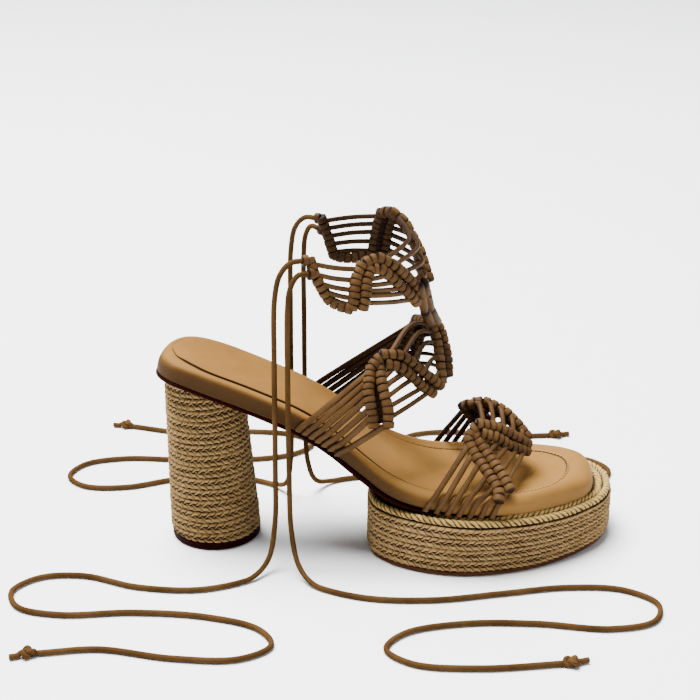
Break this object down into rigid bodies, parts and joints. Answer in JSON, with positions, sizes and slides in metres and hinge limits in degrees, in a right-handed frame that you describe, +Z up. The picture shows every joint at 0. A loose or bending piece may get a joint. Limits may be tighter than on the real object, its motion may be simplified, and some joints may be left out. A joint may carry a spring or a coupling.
{
  "type": "platform heeled sandal",
  "caption": "Right sandal with a braid-wrapped platform and round block heel, padded footbed, knotted cord straps over toe, instep and ankle, and long leather ties.",
  "frame": {"origin": "centre of the heel's base, on the floor", "axes": "+X along the foot to the toe, +Y to the inner side of the foot, +Z up"},
  "size_m": [0.3309, 0.2736, 0.1782],
  "materials": {
    "tan_leather": "smooth tan leather with a soft sheen",
    "cord_leather": "brown leather cord, lightly waxed",
    "dark_leather": "very dark brown, satin",
    "sole_leather": "brown, matt",
    "jute": "plaited straw-coloured jute, rough"
  },
  "bodies": {
    "root": {"heel_lift": "dark_leather", "heel_column": "jute", "arch_sole": "dark_leather", "platform_sole": "sole_leather", "platform_block": "jute", "rope_outer": "jute", "rope_inner": "jute", "footbed": "tan_leather", "toe_strap": "cord_leather", "ankle_upper": "cord_leather", "tie_outer_rear": "cord_leather", "tie_outer_rear_knot": "cord_leather", "tie_outer_front": "cord_leather", "tie_outer_front_knot": "cord_leather", "tie_inner_rear": "cord_leather", "tie_inner_rear_knot": "cord_leather", "tie_inner_front": "cord_leather", "tie_inner_front_knot": "cord_leather"}
  },
  "joints": []
}
